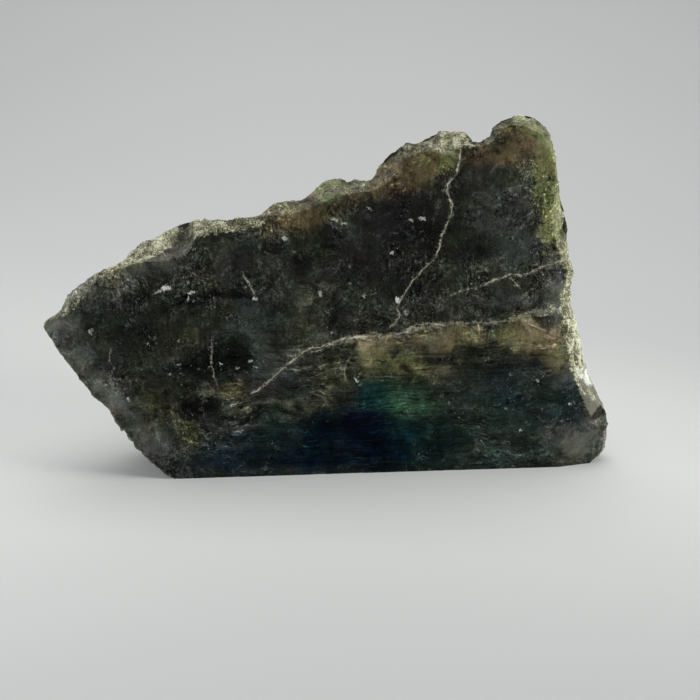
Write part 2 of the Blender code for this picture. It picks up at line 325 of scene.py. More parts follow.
def ellipseDistance(places, x, z, halfWidth, halfHeight, tilt=0):  # 1 on the rim of the ellipse
    across, up, turn = places[0] - x, places[1] - z, math.radians(tilt)
    along = (across * math.cos(turn) + up * math.sin(turn)) / halfWidth
    over = (up * math.cos(turn) - across * math.sin(turn)) / halfHeight
    return np.hypot(along, over)


def shapeStone(fine):
    shape = stoneShape
    count = len(fine.vertices)
    corner = np.array([leftTip, frontFoot, 0.0])
    places, normals = np.empty((2, count * 3))
    fine.vertices.foreach_get("co", places)
    fine.vertices.foreach_get("normal", normals)
    places = places.reshape(-1, 3) / mm - corner
    normals = normals.reshape(-1, 3)

    skins = np.zeros((count, 3))  # how many faces of each skin meet at each point
    for face in fine.polygons:
        skins[list(face.vertices), face.material_index] += 1
    shares = skins / skins.sum(1, keepdims=True)
    broken = shares[:, brokenSkin]
    footPoints = (shares[:, sawnSkin] > 0) & (places[:, 2] < 0.02)
    arris = (shares.max(1) < 0.999)

    tree = kdtree.KDTree(int(arris.sum()))
    for k, place in enumerate(places[arris]):
        tree.insert(Vector(place), k)
    tree.balance()
    toArris = np.array([tree.find(Vector(p))[2] for p in places])

    raised = np.zeros(count)
    for k, (size, height) in enumerate(shape["lumps"]):
        raised += height * fractal(places, size, 11 + k) * broken
    size, height = shape["stepBend"]
    climb = places @ np.array(shape["cleavage"]) + height * fractal(places, size, 5)
    level = climb / shape["stepHeight"]
    part = level - np.floor(level)
    tread = smoothStep(0.15, 0.85, part) - part
    patches = smoothStep(-0.1, 0.35, fractal(places, shape["stepPatch"], 21))
    raised += shape["stepDepth"] * tread * patches * broken
    for k, (size, height) in enumerate(shape["groundWave"]):
        raised += height * fractal(places, size, 31 + k) * shares[:, groundSkin]
    behind = places[:, 1] - places[:, 2] * lean
    size, share = shape["pitFray"]
    for depth, *ellipse in shape["pits"]:
        away = ellipseDistance((places[:, 0], places[:, 2]), *ellipse)
        away += share * fractal(places, size, 61)
        raised -= depth * smoothStep(1.1, 0.45, away) * smoothStep(shape["pitReach"], 4.0, behind) * broken
    nicks = smoothStep(0.28, 0.62, fractal(places, shape["chipSize"], 41)) * shape["chipDepth"]
    least = shape["chipOnGround"]
    nicks *= 1.0 - smoothStep(0.0, shape["chipReach"], toArris)
    raised -= nicks * (least + (1.0 - least) * broken)

    moved = places + normals * raised[:, None]
    for x, z, reach, shiftX, shiftZ in shape["swells"]:
        share = np.exp(-((places[:, 0] - x) ** 2 + (places[:, 2] - z) ** 2) / reach**2)
        moved += share[:, None] * np.array([shiftX, 0.0, shiftZ])
    moved[:, 2] = np.maximum(moved[:, 2], 0.0)
    moved[footPoints, 2] = 0.0
    cadSize = np.array(highCorner - lowCorner) / mm
    fitted = (moved - moved.min(0)) / (moved.max(0) - moved.min(0)) * cadSize
    fine.vertices.foreach_set("co", ((fitted + corner) * mm).ravel())
    fine.update()
    return fitted, toArris, raised, normals


flashKinds = ("navy", "tealDim", "deepBlue", "teal", "leafFlash", "plum")
softKinds = flashKinds + ("brownGlow", "reflectionHaze", "slate", "steel", "violet")

# soft places of colour on the front: strength, then x, z, half width and half height in mm, and the tilt
# in degrees where there is one
stoneZones = {
    # leaf green: the stone's own olive, brightened by painted glow where light shines through the thin rim at
    # the top and right
    "leafGlow": [
        (0.6, 111.5, 36.5, 9, 3.2), (1, 157.5, 101, 4.6, 13, -3), (0.9, 160, 89, 4, 8, -5),
        (0.9, 160.5, 84, 3.6, 12, -6), (0.8, 126.5, 103, 2.5, 5), (0.7, 149.5, 110.5, 5.5, 2.5),
        (0.5, 37.5, 77, 8, 3, 22), (0.6, 91.5, 92, 6.5, 2.5, 15), (0.6, 111, 103.5, 4.5, 2, 20),
    ],
    # brown: the stone's own tint, brightened by painted glow where light shines through the thin top rim
    "brownGlow": [
        (1, 116, 98.6, 13, 5.2, 20), (0.9, 143.5, 103.5, 13, 3.5), (0.8, 145.5, 107.5, 6, 4.5),
        (1, 79, 84.5, 10, 4, 12), (0.6, 101.5, 91.8, 10.5, 2.8, 20), (0.15, 45, 46.5, 5, 4),
        (0.6, 122.5, 45, 6, 2.5), (0.7, 149.5, 111, 8, 3.5), (0.3, 154, 42.5, 12.5, 3.5),
    ],
    "slate": [
        (0.9, 145.5, 84, 11, 14.5), (0.5, 66.5, 52.5, 6, 7), (0.6, 10, 43.5, 4.5, 4, -45),
        (0.5, 67.5, 37, 5.5, 6), (0.6, 151, 28, 20, 7.5), (0.6, 137, 4, 17, 3), (0.5, 37, 69, 8, 3.5, 10),
        (0.3, 58.5, 74.5, 9, 5), (0.3, 143.5, 57.5, 13, 4.5),
    ],
    "steel": [
        (0.9, 66.5, 54, 6, 8.5), (0.7, 62.5, 36, 8, 5), (0.6, 76, 33, 7, 5), (0.7, 15, 44, 6, 4, -48),
        (0.4, 36, 9, 6, 5), (0.4, 26, 50, 6, 4), (0.6, 146, 76, 10, 7), (0.6, 150, 31, 15, 6),
        (0.7, 168, 20, 6, 7),
    ],
    "violet": [
        (1, 111.5, 81, 13, 9, 10), (0.7, 99, 75.5, 8.5, 8.5), (0.9, 130, 94, 2.5, 3),
        (0.7, 71.5, 14.5, 5, 3), (0.9, 103, 17.5, 2.5, 2.5), (0.3, 18, 60, 5, 4),
    ],
    "night": [
        (0.35, 140.5, 46, 5.5, 3), (0.5, 119.5, 43.4, 7, 2.6), (0.45, 135.5, 48, 6.5, 1.8),
        (0.6, 71, 22.6, 10, 1), (0.7, 60, 21, 9, 1.1), (0.5, 80, 17, 9, 1.2), (0.65, 141, 34.5, 12, 4),
        (0.55, 136, 74, 7, 5), (0.8, 85.5, 17, 6, 6), (0.4, 143, 25, 9, 6), (1, 57.5, 40, 6, 6.5),
        (0.85, 45, 24, 6, 4), (0.8, 54, 61.3, 11, 1.6), (0.75, 46.6, 59.6, 6.5, 2.6),
        (0.8, 50.5, 36.8, 10, 6), (0.6, 61, 43, 3.5, 4), (0.55, 62, 14, 12, 3.4), (0.6, 113, 64.5, 9, 9),
        (0.3, 155, 52.6, 7, 2.6), (0.5, 124.5, 39.5, 7, 2.4), (0.45, 97.5, 36, 5, 6), (0.4, 88, 42, 6, 2),
        (0.45, 77, 22, 6, 2.5), (0.4, 100, 66.5, 8, 3), (0.8, 43.1, 25.5, 3.5, 3), (0.7, 51.3, 24.3, 4, 2.4),
        (0.55, 30, 47, 11, 6.5), (0.6, 91.5, 16.5, 8, 4), (0.6, 71.5, 13, 5, 3), (0.3, 94, 30.5, 2, 8.5, 12),
        (0.5, 119, 77, 7.5, 7.5), (0.3, 106.5, 58, 7.5, 5.5), (0.6, 80, 70.5, 3, 3),
        (0.4, 129.5, 27, 7, 2.5), (0.5, 75, 44, 4.5, 2.5), (0.5, 44.5, 31.5, 5, 3),
    ],
    "olive": [
        (0.8, 149.5, 113.5, 10, 3), (0.6, 124, 108, 12, 3), (0.9, 31, 26.5, 4.5, 3.5), (0.9, 43, 14, 4, 6),
        (0.5, 36, 22.5, 4, 4), (0.8, 53, 28.8, 9, 3, 5), (0.5, 90.5, 33, 6.5, 9),
        (0.6, 91.5, 27.5, 7, 5, -10), (0.5, 79, 21.5, 9, 5), (1, 113, 38.5, 17, 7), (0.35, 89, 61, 3, 4.5),
        (0.35, 82.5, 57.5, 4, 4.5), (0.75, 90, 24.6, 4, 2), (0.15, 46.5, 48, 5.5, 4), (0.35, 128, 36, 15, 4),
        (0.5, 33, 72.5, 8, 2.5, 22), (0.3, 174, 9.5, 7, 3),
    ],
    "tan": [
        (0.4, 138, 45.6, 5, 3), (0.5, 116.5, 44.6, 5, 2.4), (0.65, 110, 43.6, 5, 2.8),
        (0.5, 27, 70, 8, 2.8, 28), (0.65, 128.5, 45.7, 15, 3.3, 2), (0.9, 103, 41.5, 5, 4),
        (0.8, 155, 45.6, 13, 5.6), (0.3, 114, 44, 9, 3), (0.8, 163, 40, 4, 6, -20),
    ],
    "teal": [(0.9, 105, 27.5, 6, 5), (0.35, 112, 14, 5, 8)],
    "leafFlash": [(1, 114.5, 24.5, 7, 5), (0.35, 121, 21, 7, 4), (0.5, 113, 31, 6, 3)],
    "deepBlue": [
        (1, 100.5, 15, 9, 9.5), (1, 106, 8.5, 9, 9), (0.75, 87, 14.5, 10, 5.5), (0.7, 84, 6, 14, 4),
    ],
    "tealDim": [
        (0.9, 120, 12, 16, 12), (0.45, 146, 20, 24, 12), (0.6, 80, 14, 16, 8), (0.5, 165, 24, 8, 7, -10),
        (0.5, 146, 4, 22, 6),
    ],
    "navy": [
        (0.6, 75, 1.5, 40, 3.5), (0.5, 125, 2, 18, 3.5), (0.4, 156, 17, 13, 9), (1, 58, 6, 16, 6),
        (1, 86, 6.5, 20, 6.5), (0.7, 118, 6, 10, 8), (0.5, 62, 16, 14, 4), (0.5, 152, 27, 16, 7),
    ],
    # pale haze: painted reflection of the room on the front, lightest at the left tip and the upper right
    "reflectionHaze": [
        (0.55, 72.5, 25.5, 9, 1.1, 4), (0.45, 58, 24.6, 4.5, 1.3), (0.5, 58.5, 17.8, 7, 1.3),
        (0.4, 77, 20.4, 5, 1), (0.85, 30.5, 69.5, 9, 3.6, 25), (0.3, 147, 98, 7, 4), (1, 4, 51, 7.5, 6),
        (0.85, 8, 42, 8, 4.5, -50), (0.95, 20, 28, 9, 5, -50), (0.6, 30, 14.5, 8, 4.5, -50),
        (0.6, 17, 64.5, 14, 4.5, 27), (0.9, 172.5, 8, 11, 7), (0.9, 163, 61, 4.5, 9),
        (0.7, 167.5, 33, 5, 8, -40), (0.6, 151, 57, 3, 2.5), (0.4, 148.5, 83.5, 5, 7),
        (0.4, 42.5, 71.5, 6, 2.5, 10), (0.4, 86.5, 45.5, 4.5, 1.5, 25), (0.5, 75, 38, 8, 2.5, 40),
    ],
    "bruised": [
        (0.6, 24, 72, 10, 3.5, 32), (0.4, 9, 58, 8, 2, 40), (0.3, 97, 93, 8, 2, 20),
        (0.5, 112, 104.5, 6, 2, 20), (0.9, 35, 77, 10, 4.2, 22), (1, 54, 83, 14, 3.4, 3),
        (0.4, 70, 86, 12, 2.5, 8), (0.6, 126, 107.5, 10, 3), (0.7, 150, 114.5, 10, 2.6),
        (0.5, 163.5, 96, 3, 12), (1, 170, 40, 6.5, 17, 25), (1, 165, 64, 3.5, 24),
    ],
    "plum": [(0.6, 100.8, 18.6, 2.6, 3.6)],
    "sand": [
        (0.45, 133.6, 48.6, 4.5, 1.6), (0.8, 100.5, 44.6, 3.8, 1.8), (0.5, 107, 45.3, 5, 1),
        (0.4, 120, 48, 4, 1, 20), (0.2, 141.5, 48, 3, 1.2), (0.3, 154.5, 49.5, 5.5, 2.2, -20),
        (0.5, 162, 47, 2.5, 3),
    ],
    # pale mint streaks on the top rim and the right flank: pale crust, with painted rim light from behind on
    # top of it
    "mintAndRimLight": [
        (0.25, 52, 84, 13, 1.8, 3), (0.3, 88, 95, 8, 2, 15), (0.2, 168.5, 46, 4, 16, 20),
        (0.8, 174.5, 29, 6, 1.8, -45),
    ],
    "crumbly": [
        (1, 99, 56, 14, 9), (0.65, 86, 75, 13, 7), (0.9, 68, 20, 24, 10), (1, 84.5, 57, 8, 11),
        (0.9, 57, 63, 12, 5), (0.4, 157, 20, 13, 6.5), (1, 89, 33, 9.5, 9.5), (0.9, 34.5, 22, 6, 7),
        (0.9, 19.5, 33, 6, 6), (0.3, 137, 46, 14, 4), (0.4, 105, 42, 8, 4), (0.8, 45, 18, 9, 9),
        (0.5, 118, 85, 9, 7), (0.7, 101, 87, 12, 4, 20), (0.7, 113, 97, 9, 5, 20), (0.3, 163, 90, 5, 9),
        (0.6, 150, 60, 9, 6), (0.4, 120, 22, 9, 8),
    ],
}


def paintZones(fine, places, toArris, raised, normals):
    behind = places[:, 1] - places[:, 2] * lean
    nearFront = smoothStep(30.0, 14.0, behind) * smoothStep(0.75, 0.15, normals[:, 1])
    # large and small strays, in mm, keep the zones from looking like ellipses
    x = places[:, 0] + (2.4 * fractal(places, 13.0, 51, 4) + 1.5 * fractal(places, 4.0, 52))
    z = places[:, 2] + (2.0 * fractal(places, 13.0, 53, 4) + 1.2 * fractal(places, 4.0, 54))
    paints = {}
    for kind, zones in stoneZones.items():
        paints[kind] = np.zeros(len(places))
        inner, outer = (0.0, 1.9) if kind in softKinds else (0.4, 1.6)
        for strength, *ellipse in zones:
            paint = strength * (1.0 - smoothStep(inner, outer, ellipseDistance((x, z), *ellipse)))
            paints[kind] = np.maximum(paints[kind], paint)
        paints[kind] *= nearFront
    # the lower right of the front shows the stone's layers, and the rest its wool
    low = 0.1 + 0.9 * smoothStep(60.0, 34.0, places[:, 2])
    right = 0.35 + 0.65 * smoothStep(40.0, 66.0, places[:, 0])
    paints |= {
        "arris": 1.0 - smoothStep(0.0, 2.6, toArris),
        # the broken relief, which makes the crust paler on bumps and darker in hollows, as painted highlight
        # and shade
        "height": np.clip(0.5 + 0.6 * raised, 0.0, 1.0),
        "nearFront": nearFront,
        # how far a face looks to the front, which thins the pale crust there as partly painted light
        "facesFront": smoothStep(0.05, 0.5, -normals[:, 1]),
        "layered": low * right * smoothStep(176.0, 160.0, places[:, 0]),
    }
    for kind, paint in paints.items():
        layer = fine.attributes.new(kind, "FLOAT", "POINT")
        layer.data.foreach_set("value", paint.astype(np.float32))


fine = fineMesh(chunkNode)
places, toArris, raised, normals = shapeStone(fine)
paintZones(fine, places, toArris, raised, normals)
fine.shade_smooth()
print("stone mesh:", len(fine.polygons), "faces")


# labradorite, a feldspar: dark grey-green and cloudy, with fine parallel layers that show as streaks,
# a blue and teal flash, and pale bruised crust where it is broken
mineral = {
    "base": "#2d2f29",
    "facet": "#75756a",
    # dark cracks and pits, and the painted shadow lines along the ledge
    "crackAndShade": "#0b0d0a",
    # pale veins, and the painted highlight along the ledge lip
    "veinAndHighlight": "#d5d0b9",
    "crust": "#adac8e",
    "crustOlive": "#8b8966",
    "rind": "#68665d",
    # pale mint: bright chips and specks, and the painted rim light on the rim and flank
    "mintAndRimLight": "#e6ede1",
    "flour": "#d3d4c2",
    "flashTint": (0.2, 0.55, 0.75, 1.0),
    "driftLow": (0.88, 0.89, 0.83),  # the colour drifts between these
    "driftHigh": (1.12, 1.13, 1.14),
    "warpSize": 14.0,  # mm across the bends of the clouds
    "warpReach": 9.0,
    "layerWarp": 0.22,  # share of the bend that the layers follow
    "ragged": {"bruised": 0.9, "mintAndRimLight": 0.8, "teal": 0.3},  # edges of zones that the crust and specks use
    "crumbs": 0.45,  # strength of painted crumbs
    "arrisBruise": 0.6,
    # specks: mm between them, mm radius, share shown, strength; the last kind is dark pits
    "specks": [(1.3, 0.3, 0.30, 0.6), (3.2, 0.62, 0.30, 0.7), (1.7, 0.42, 0.5, 1.0)],
    # hairlines: thinnest, thickest and how far the crumbs beside them reach, all in half widths, and the mm
    # in which an end fades
    "hairline": {"thin": 0.35, "thick": 1.65, "crumbReach": 2.8, "fade": 2.0},
    # mm that places are moved by, for a ragged outline
    "jagged": {"facet": 2.0, "veinWander": 1.5, "veinFray": 0.9, "chips": 3.2},
    "indexOfRefraction": 1.56,  # feldspar
    # painted zones, in the order they are laid on: colour, strength, how ragged the edge is, and how far
    # light shows through, which calms the pattern
    "zones": {
        # pale haze: painted reflection of the room
        "reflectionHaze": ("#72746c", 0.75, 0.5, 1),
        "slate": ("#434742", 0.8, 0.7, 1),
        "steel": ("#2a3031", 0.8, 0.7, 0),
        "violet": ("#232126", 0.8, 0.7, 0),
        "olive": ("#4b4b3a", 0.85, 0.7, 0),
        # brown: partly painted glow of light shining through the thin rim
        "brownGlow": ("#6b5f45", 0.85, 0.7, 1),
        "tan": ("#736e53", 0.9, 0.35, 0.7),
        # leaf green: partly painted glow of light shining through the thin rim
        "leafGlow": ("#70754e", 0.85, 0.7, 1),
        "night": ("#0b0e0c", 0.92, 0.7, 0),
        "navy": ("#0f1d28", 0.9, 0.7, 0),
        "tealDim": ("#102926", 0.9, 0.7, 0),
        "deepBlue": ("#000a1a", 0.97, 0.7, 0),
        "teal": ("#123a38", 0.95, 0.7, 0),
        "leafFlash": ("#385641", 0.8, 0.7, 0),
        "plum": ("#1a0d26", 0.7, 0.7, 0),
        "sand": ("#988c74", 0.75, 0.7, 0),
    },
    # noises: the place they follow, the size in mm (across, deep and up where stretched) and their texture
    "patterns": {
        "clouds": {"on": "bent", "size": 17, "Detail": 6, "Roughness": 0.6},
        "clots": {"on": "bent", "size": 5, "Detail": 5, "Roughness": 0.6, "Distortion": 0.6},
        "wool": {"on": "bent", "size": 1.5, "Detail": 4, "Roughness": 0.65, "Distortion": 1.3},
        "grain": {"on": "place", "size": 0.5, "Detail": 2, "Roughness": 0.6},
        "layers": {"on": "steady", "size": (10, 20, 0.8), "Detail": 4, "Roughness": 0.6},
        "bands": {"on": "steady", "size": (24, 20, 4), "Detail": 4},
        "fibres": {"on": "place", "size": (0.7, 10, 4), "Detail": 3, "Roughness": 0.6},
        "drift": {"on": "bent", "size": 9, "Detail": 5, "Roughness": 0.6},
        "busy": {"on": "bent", "size": 12, "Detail": 3, "Distortion": 0.5},
        "seams": {"on": "bent", "size": (9, 20, 1.3), "Detail": 3, "Roughness": 0.55},
        "roundCrumbs": {
            "on": "bent", "size": (1.25, 1.25, 1.25), "Detail": 3, "Roughness": 0.6, "Distortion": 0.7,
        },
        "flatCrumbs": {
            "on": "bent", "size": (4.25, 1.25, 1), "Detail": 3, "Roughness": 0.6, "Distortion": 0.7,
        },
        "crust": {"on": "place", "size": 2.2, "Detail": 6, "Roughness": 0.72, "Distortion": 0.5},
    },
    "rindPatterns": {
        "rind": {"on": "bent", "size": 15, "Detail": 6, "Roughness": 0.62, "Distortion": 0.4},
    },
    "veinPatterns": {
        "wander": {"on": "place", "size": 2.6, "Detail": 4, "Roughness": 0.6},
        "dust": {"on": "place", "size": 1.3, "Detail": 5, "Roughness": 0.7, "Distortion": 0.8},
        "hairs": {"on": "bent", "size": 6, "Detail": 6, "Roughness": 0.62, "Distortion": 0.4},
        "widths": {"on": "place", "size": 20 / 7, "Detail": 3},
    },
    # how much of each pattern goes into a tone, where 1 takes it from 0.6 to 1.6 times as bright
    "tones": {
        "threads": {"wool": 5.2, "fibres": 2.6, "grain": 3.8},
        "woolly": {"clouds": 3, "clots": 3},
        "streaky": {"clouds": 2.6, "clots": 2.4, "layers": 2.6, "bands": 2.4, "wool": 2.6, "grain": 1.8},
        # the crust and rind tones take height: paler on bumps and darker in hollows, a painted highlight and
        # shade
        "crust": {"crust": 4.2, "grain": 6, "clots": 2, "height": 2.4},
        "rind": {"rind": 4, "crust": 1.2, "height": 0.9},
        "facet": {"clots": 1, "wool": 1, "grain": 0.8},
        "worn": {"wool": 1.4, "crust": 1},
    },
    # how one value is turned into another: from, to, and what these become
    "ramps": {
        "busy": (0.4, 0.6, 0.4, 1.35),  # quiet and lively parts
        "seams": (0.3, 0.42, -1.3, 0),
        "calm": (0, 1, 1, 0.42),
        "crumbClusters": (0.75, 1.3, 0.1, 0.9),
        "pale": (0.56, 0.65, 0, 1.4),
        "hollow": (0.44, 0.35, 0, -1.4),
        "lively": (0, 1, 0.45, 1),  # the back is quieter than the rim
        "moss": (0.4, 0.6, 0, 1),
        "mossNearFront": (0, 1, 0.25, 1),
        "floury": (1.1, 2.4, 0, 0.8),
        "turned": (0, 1, 1, 0.35),  # less crust on broken faces that look to the front: partly painted light, so the crest turned up and back comes out paler
        "dust": (0.5, 0.58, 0, 1),
        "breaks": (0.42, 0.56, 0.2, 1.2),
        "fades": (0.4, 0.54, 0.45, 1),
        "speckClusters": (0.7, 1.3, 0, 1),
        "clear": (0, 0.5, 1, 0),  # no specks in the flash
        "hairs": (0.007, 0, 0, 1),
        "rareHairs": (0.52, 0.62, 0, 0.24),
        "worn": (0.85, 1.25, 0, 1),
        "softEdge": (0.05, 0.95, 0, 1),
        "firmEdge": (0.08, 0.8, 0, 1),
    },
}


def ramp(value, name):
    return dict(enumerate((value, *mineral["ramps"][name])))


# hairlines, and painted lines of light and shade along the ledge: the axis each one runs along, half width in
# mm, strength, strength of the crumbs beside it, and its points in mm, with the place along that axis first
paleVeinsAndHighlights = {
    "topVein": ("z", 0.3, 1.0, 0.5, [
        (47.5, 107.4), (50, 109.6), (52.7, 111.5), (55.4, 110.6), (57.6, 111.3), (62.8, 114.7), (67, 118.2),
        (71, 122.4), (74, 123.7), (78, 124.5), (81, 125.7), (84.6, 127.2), (87.5, 127.5), (91.7, 125.8),
        (94.2, 126.3), (96.7, 128.7), (101, 129.6), (108, 129.6),
    ]),
    "topSpur": ("x", 0.3, 0.6, 0.4, [
        (116, 105.9), (118, 105.8), (122, 105.4), (125.3, 103.6), (129.5, 102.7),
    ]),
    "sideVein": ("x", 0.26, 0.8, 0.6, [
        (128, 59), (130.5, 60.3), (136, 61.4), (138.5, 62.4), (142.7, 64), (147, 65.3), (150.2, 65.2),
        (154, 66.4), (157.5, 68), (161, 69), (167, 70.2),
    ]),
    "sideFork": ("x", 0.5, 0.6, 0.7, [
        (145.6, 64.6), (147.8, 63.3), (149.4, 62), (150.2, 60.4), (151, 58.6),
    ]),
    "cornerVein": ("x", 0.28, 0.5, 0.2, [(150, 51.6), (155, 48.8), (159.8, 46.9), (165.2, 44.7)]),
    # the lines along the ledge, down to the glint, are a painted highlight where the raised lip catches the
    # light from above, drawn in the pale vein colour
    "ledgeLipHighlight": ("x", 0.36, 1.0, 0.6, [
        (63, 28.3), (66, 29.4), (68.2, 31.2), (71.7, 34.6), (76, 38), (79.3, 40.6), (81.5, 42.2),
        (83.7, 43.2), (86, 43.3), (88.2, 44), (91.5, 45), (94, 45.9), (96.4, 46.2), (103, 46.2), (108, 46),
    ]),
    "ledgeLipHighlightWide": ("x", 0.8, 0.8, 0.5, [(93.5, 45.8), (97, 46.3), (103, 46.3), (107.5, 46)]),
    "ledgeTop": ("x", 0.42, 0.5, 0.55, [
        (106, 46), (110, 46.6), (113.2, 47.9), (116.4, 49.4), (119.5, 50), (127, 50),
    ]),
    "ledgeFar": ("x", 0.34, 0.28, 0.4, [
        (125.5, 50), (135, 50), (143.7, 50.1), (148.6, 51), (150.5, 51.9), (152.4, 53.2), (154.6, 53.8),
        (158, 53.6), (164, 53.9),
    ]),
    "ledgeGlint": ("x", 0.7, 0.7, 0.5, [(120.8, 49.6), (123, 50), (127.5, 49.2)]),
    # a second strand of the painted highlight on the ledge lip
    "ledgeLipHighlightSplit": ("x", 0.3, 0.8, 0.5, [(74.7, 40.4), (77, 40.6), (79.2, 41.3), (81.3, 42.3)]),
    "lowVein": ("z", 0.22, 0.85, 0.4, [(30, 53), (33, 52.5), (38, 51.4), (42, 51.6), (47, 52)]),
    "midVein": ("z", 0.28, 0.7, 0.4, [(59.5, 65.7), (61.5, 65.4), (64, 64.3), (66, 63), (68.5, 62)]),
    "scribble": ("z", 0.22, 0.25, 0.4, [
        (29, 19.2), (32, 20.4), (35, 19.3), (38, 20.9), (41, 19.6), (45, 20.6),
    ]),
    # a second strand of the painted highlight on the ledge lip
    "ledgeLipHighlightStrand": ("x", 0.28, 0.7, 0.6, [(81.3, 41.3), (84, 41.9), (86.5, 42.6), (88.3, 43.5)]),
    "bandVein": ("z", 0.28, 0.4, 0.3, [(31, 95), (35, 93.5), (38, 94), (41, 96)]),
}
# dark cracks, and painted shadow lines along the ledge
darkCracksAndShade = {
    # under the ledge band: a painted shadow line
    "bandShade": ("x", 0.7, 0.55, 0.2, [
        (112, 40.5), (118, 40.6), (124.5, 40.4), (134, 41.2), (144, 40.8), (153.5, 40.4), (160, 39.4),
        (164, 37.5),
    ]),
    "longCrack": ("x", 0.5, 0.8, 0.5, [(40, 63.6), (47, 62.4), (54, 62.8), (60, 62.2), (67, 62.8)]),
    "cornerCrack": ("x", 0.32, 0.4, 0.2, [(151, 50.5), (155, 48), (159.8, 46.1), (165.2, 43.9)]),
    # just above the ledge: a painted shadow line
    "ledgeShade": ("x", 0.55, 0.55, 0.2, [
        (92, 47.4), (97, 48), (105, 47.8), (110.4, 47.6), (115, 49.8), (119, 51.4), (126, 51.3),
    ]),
    "flashCrackA": ("x", 0.5, 0.6, 0.1, [(106, 22), (111, 20.6), (117, 21.2), (124, 20.4), (129, 21)]),
    "flashCrackB": ("x", 0.55, 0.6, 0.1, [(112, 15.2), (120, 14.2), (128, 15), (138, 13.6), (147, 14.4)]),
    "flashCrackC": ("x", 0.45, 0.5, 0.1, [(118, 10.2), (127, 10.8), (137, 9.6), (149, 10.4)]),
}

# a cleaner break at the right, corners in mm
stoneFacet = [(175.4, 16.4), (178.4, 19.6), (180.6, 22), (177.4, 26.6), (172.8, 30.4), (170.2, 27.2)]

# bright chips, written as the zones are
stoneChips = [
    (1, 38.5, 63.2, 1.8, 0.8, -10), (0.6, 36, 62.2, 1.6, 0.3, 30), (0.7, 46.2, 61.6, 1, 0.5),
    (0.5, 45.2, 60, 0.4, 0.9), (0.7, 65.6, 59.3, 1, 0.6), (0.6, 91, 83.4, 1.2, 0.5, -20),
    (0.5, 94, 82.4, 1.4, 0.3, -10), (0.5, 102, 86.6, 1.1, 0.4, -30), (0.75, 118.3, 83.3, 1.2, 0.4),
    (0.5, 114.6, 83, 0.8, 0.3, -10), (0.9, 110.5, 58, 0.9, 1, 20), (0.55, 109, 73, 0.6, 0.6),
    (0.9, 97.5, 32.5, 0.5, 0.9), (0.6, 24.4, 27.6, 0.6, 0.5), (0.6, 75.5, 78, 0.7, 0.7),
    (0.5, 63.7, 39.4, 0.8, 0.5), (0.5, 65.6, 37.1, 1.2, 0.45, -15), (0.35, 59.8, 37.1, 0.6, 0.4),
    (0.22, 15, 50.6, 0.7, 0.6), (0.35, 14.4, 49.6, 0.4, 1.1, 10), (0.5, 152, 13.5, 0.5, 0.4),
    (0.5, 139, 10, 0.4, 0.4), (0.5, 168, 22, 0.5, 0.4), (0.6, 100.2, 59.4, 0.4, 0.4),
    (0.5, 86.5, 60.5, 0.7, 0.9), (0.8, 171.6, 31, 4.6, 0.7, -44), (1, 175.6, 27.4, 3.6, 1.25, -44),
]


def placeInMm(tree):  # where a point of the surface lies, in mm from the left tip, front foot and floor
    spot = addNode(tree, "TexCoord").outputs["Object"]
    moved = addNode(tree, "VectorMath", {0: spot, 1: (-lowCorner.x, -lowCorner.y, 0.0)}, operation="ADD")
    return addNode(tree, "VectorMath", {0: moved, "Scale": 1000.0}, operation="SCALE")


def strayOf(tree, texture, reach):  # mm along each axis, from the three colours of a noise
    middle = {0: texture.outputs["Color"], 1: (0.5, 0.5, 0.5)}
    middle = addNode(tree, "VectorMath", middle, operation="SUBTRACT")
    return addNode(tree, "VectorMath", {0: middle, "Scale": reach}, operation="SCALE")


def shifted(tree, place, texture, reach):
    return addNode(tree, "VectorMath", {0: place, 1: strayOf(tree, texture, reach)}, operation="ADD")


def placesToFollow(tree):  # in mm: as they are, bent for the clouds, and a little bent for the layers
    place = placeInMm(tree)
    warp = addNode(tree, "TexNoise", {"Vector": place, "Scale": 1 / mineral["warpSize"], "Detail": 4.0})
    bend = strayOf(tree, warp, mineral["warpReach"])
    bent = addNode(tree, "VectorMath", {0: place, 1: bend}, operation="ADD")
    lessBend = addNode(tree, "VectorMath", {0: bend, "Scale": mineral["layerWarp"]}, operation="SCALE")
    steady = addNode(tree, "VectorMath", {0: place, 1: lessBend}, operation="ADD")
    return {"place": place, "bent": bent, "steady": steady}


def makePatterns(tree, p, table):  # p holds the places, and then the patterns too
    for name, settings in table.items():
        texture = dict(settings)
        spot, size = p[texture.pop("on")], texture.pop("size")
        if isinstance(size, tuple):
            spot = addNode(tree, "Mapping", {"Vector": spot, "Scale": [1 / s for s in size]})
            size = 1.0
        p[name] = addNode(tree, "TexNoise", {"Vector": spot, "Scale": 1 / size, **texture})


def sumOf(tree, p, amounts):  # adds up patterns, each from its middle value and times its amount
    total = None
    for name, amount in amounts.items():
        span = {1: 0.0, 2: 1.0, 3: -amount / 2, 4: amount / 2}
        part = addNode(tree, "MapRange", {0: p[name], **span}, clamp=False)
        total = part if total is None else addNode(tree, "Math", {0: total, 1: part}, operation="ADD")
    return total


def strongest(tree, masks):
    found = masks[0]
    for mask in masks[1:]:
        found = addNode(tree, "Math", {0: found, 1: mask}, operation="MAXIMUM")
    return found


def zoneMask(tree, kind, breakup, ragged):  # a painted zone whose edge the pattern breaks up
    paint = addNode(tree, "Attribute", attribute_name=kind).outputs["Fac"]
    stray = addNode(tree, "MapRange", {0: breakup, 1: 0.3, 2: 0.7, 3: 1.0 - ragged, 4: 1.0 + ragged})
    mixed = addNode(tree, "Math", {0: paint, 1: stray}, operation="MULTIPLY")
    if kind in softKinds:
        return addNode(tree, "MapRange", ramp(mixed, "softEdge"))
    return addNode(tree, "MapRange", ramp(mixed, "firmEdge"), interpolation_type="SMOOTHSTEP")


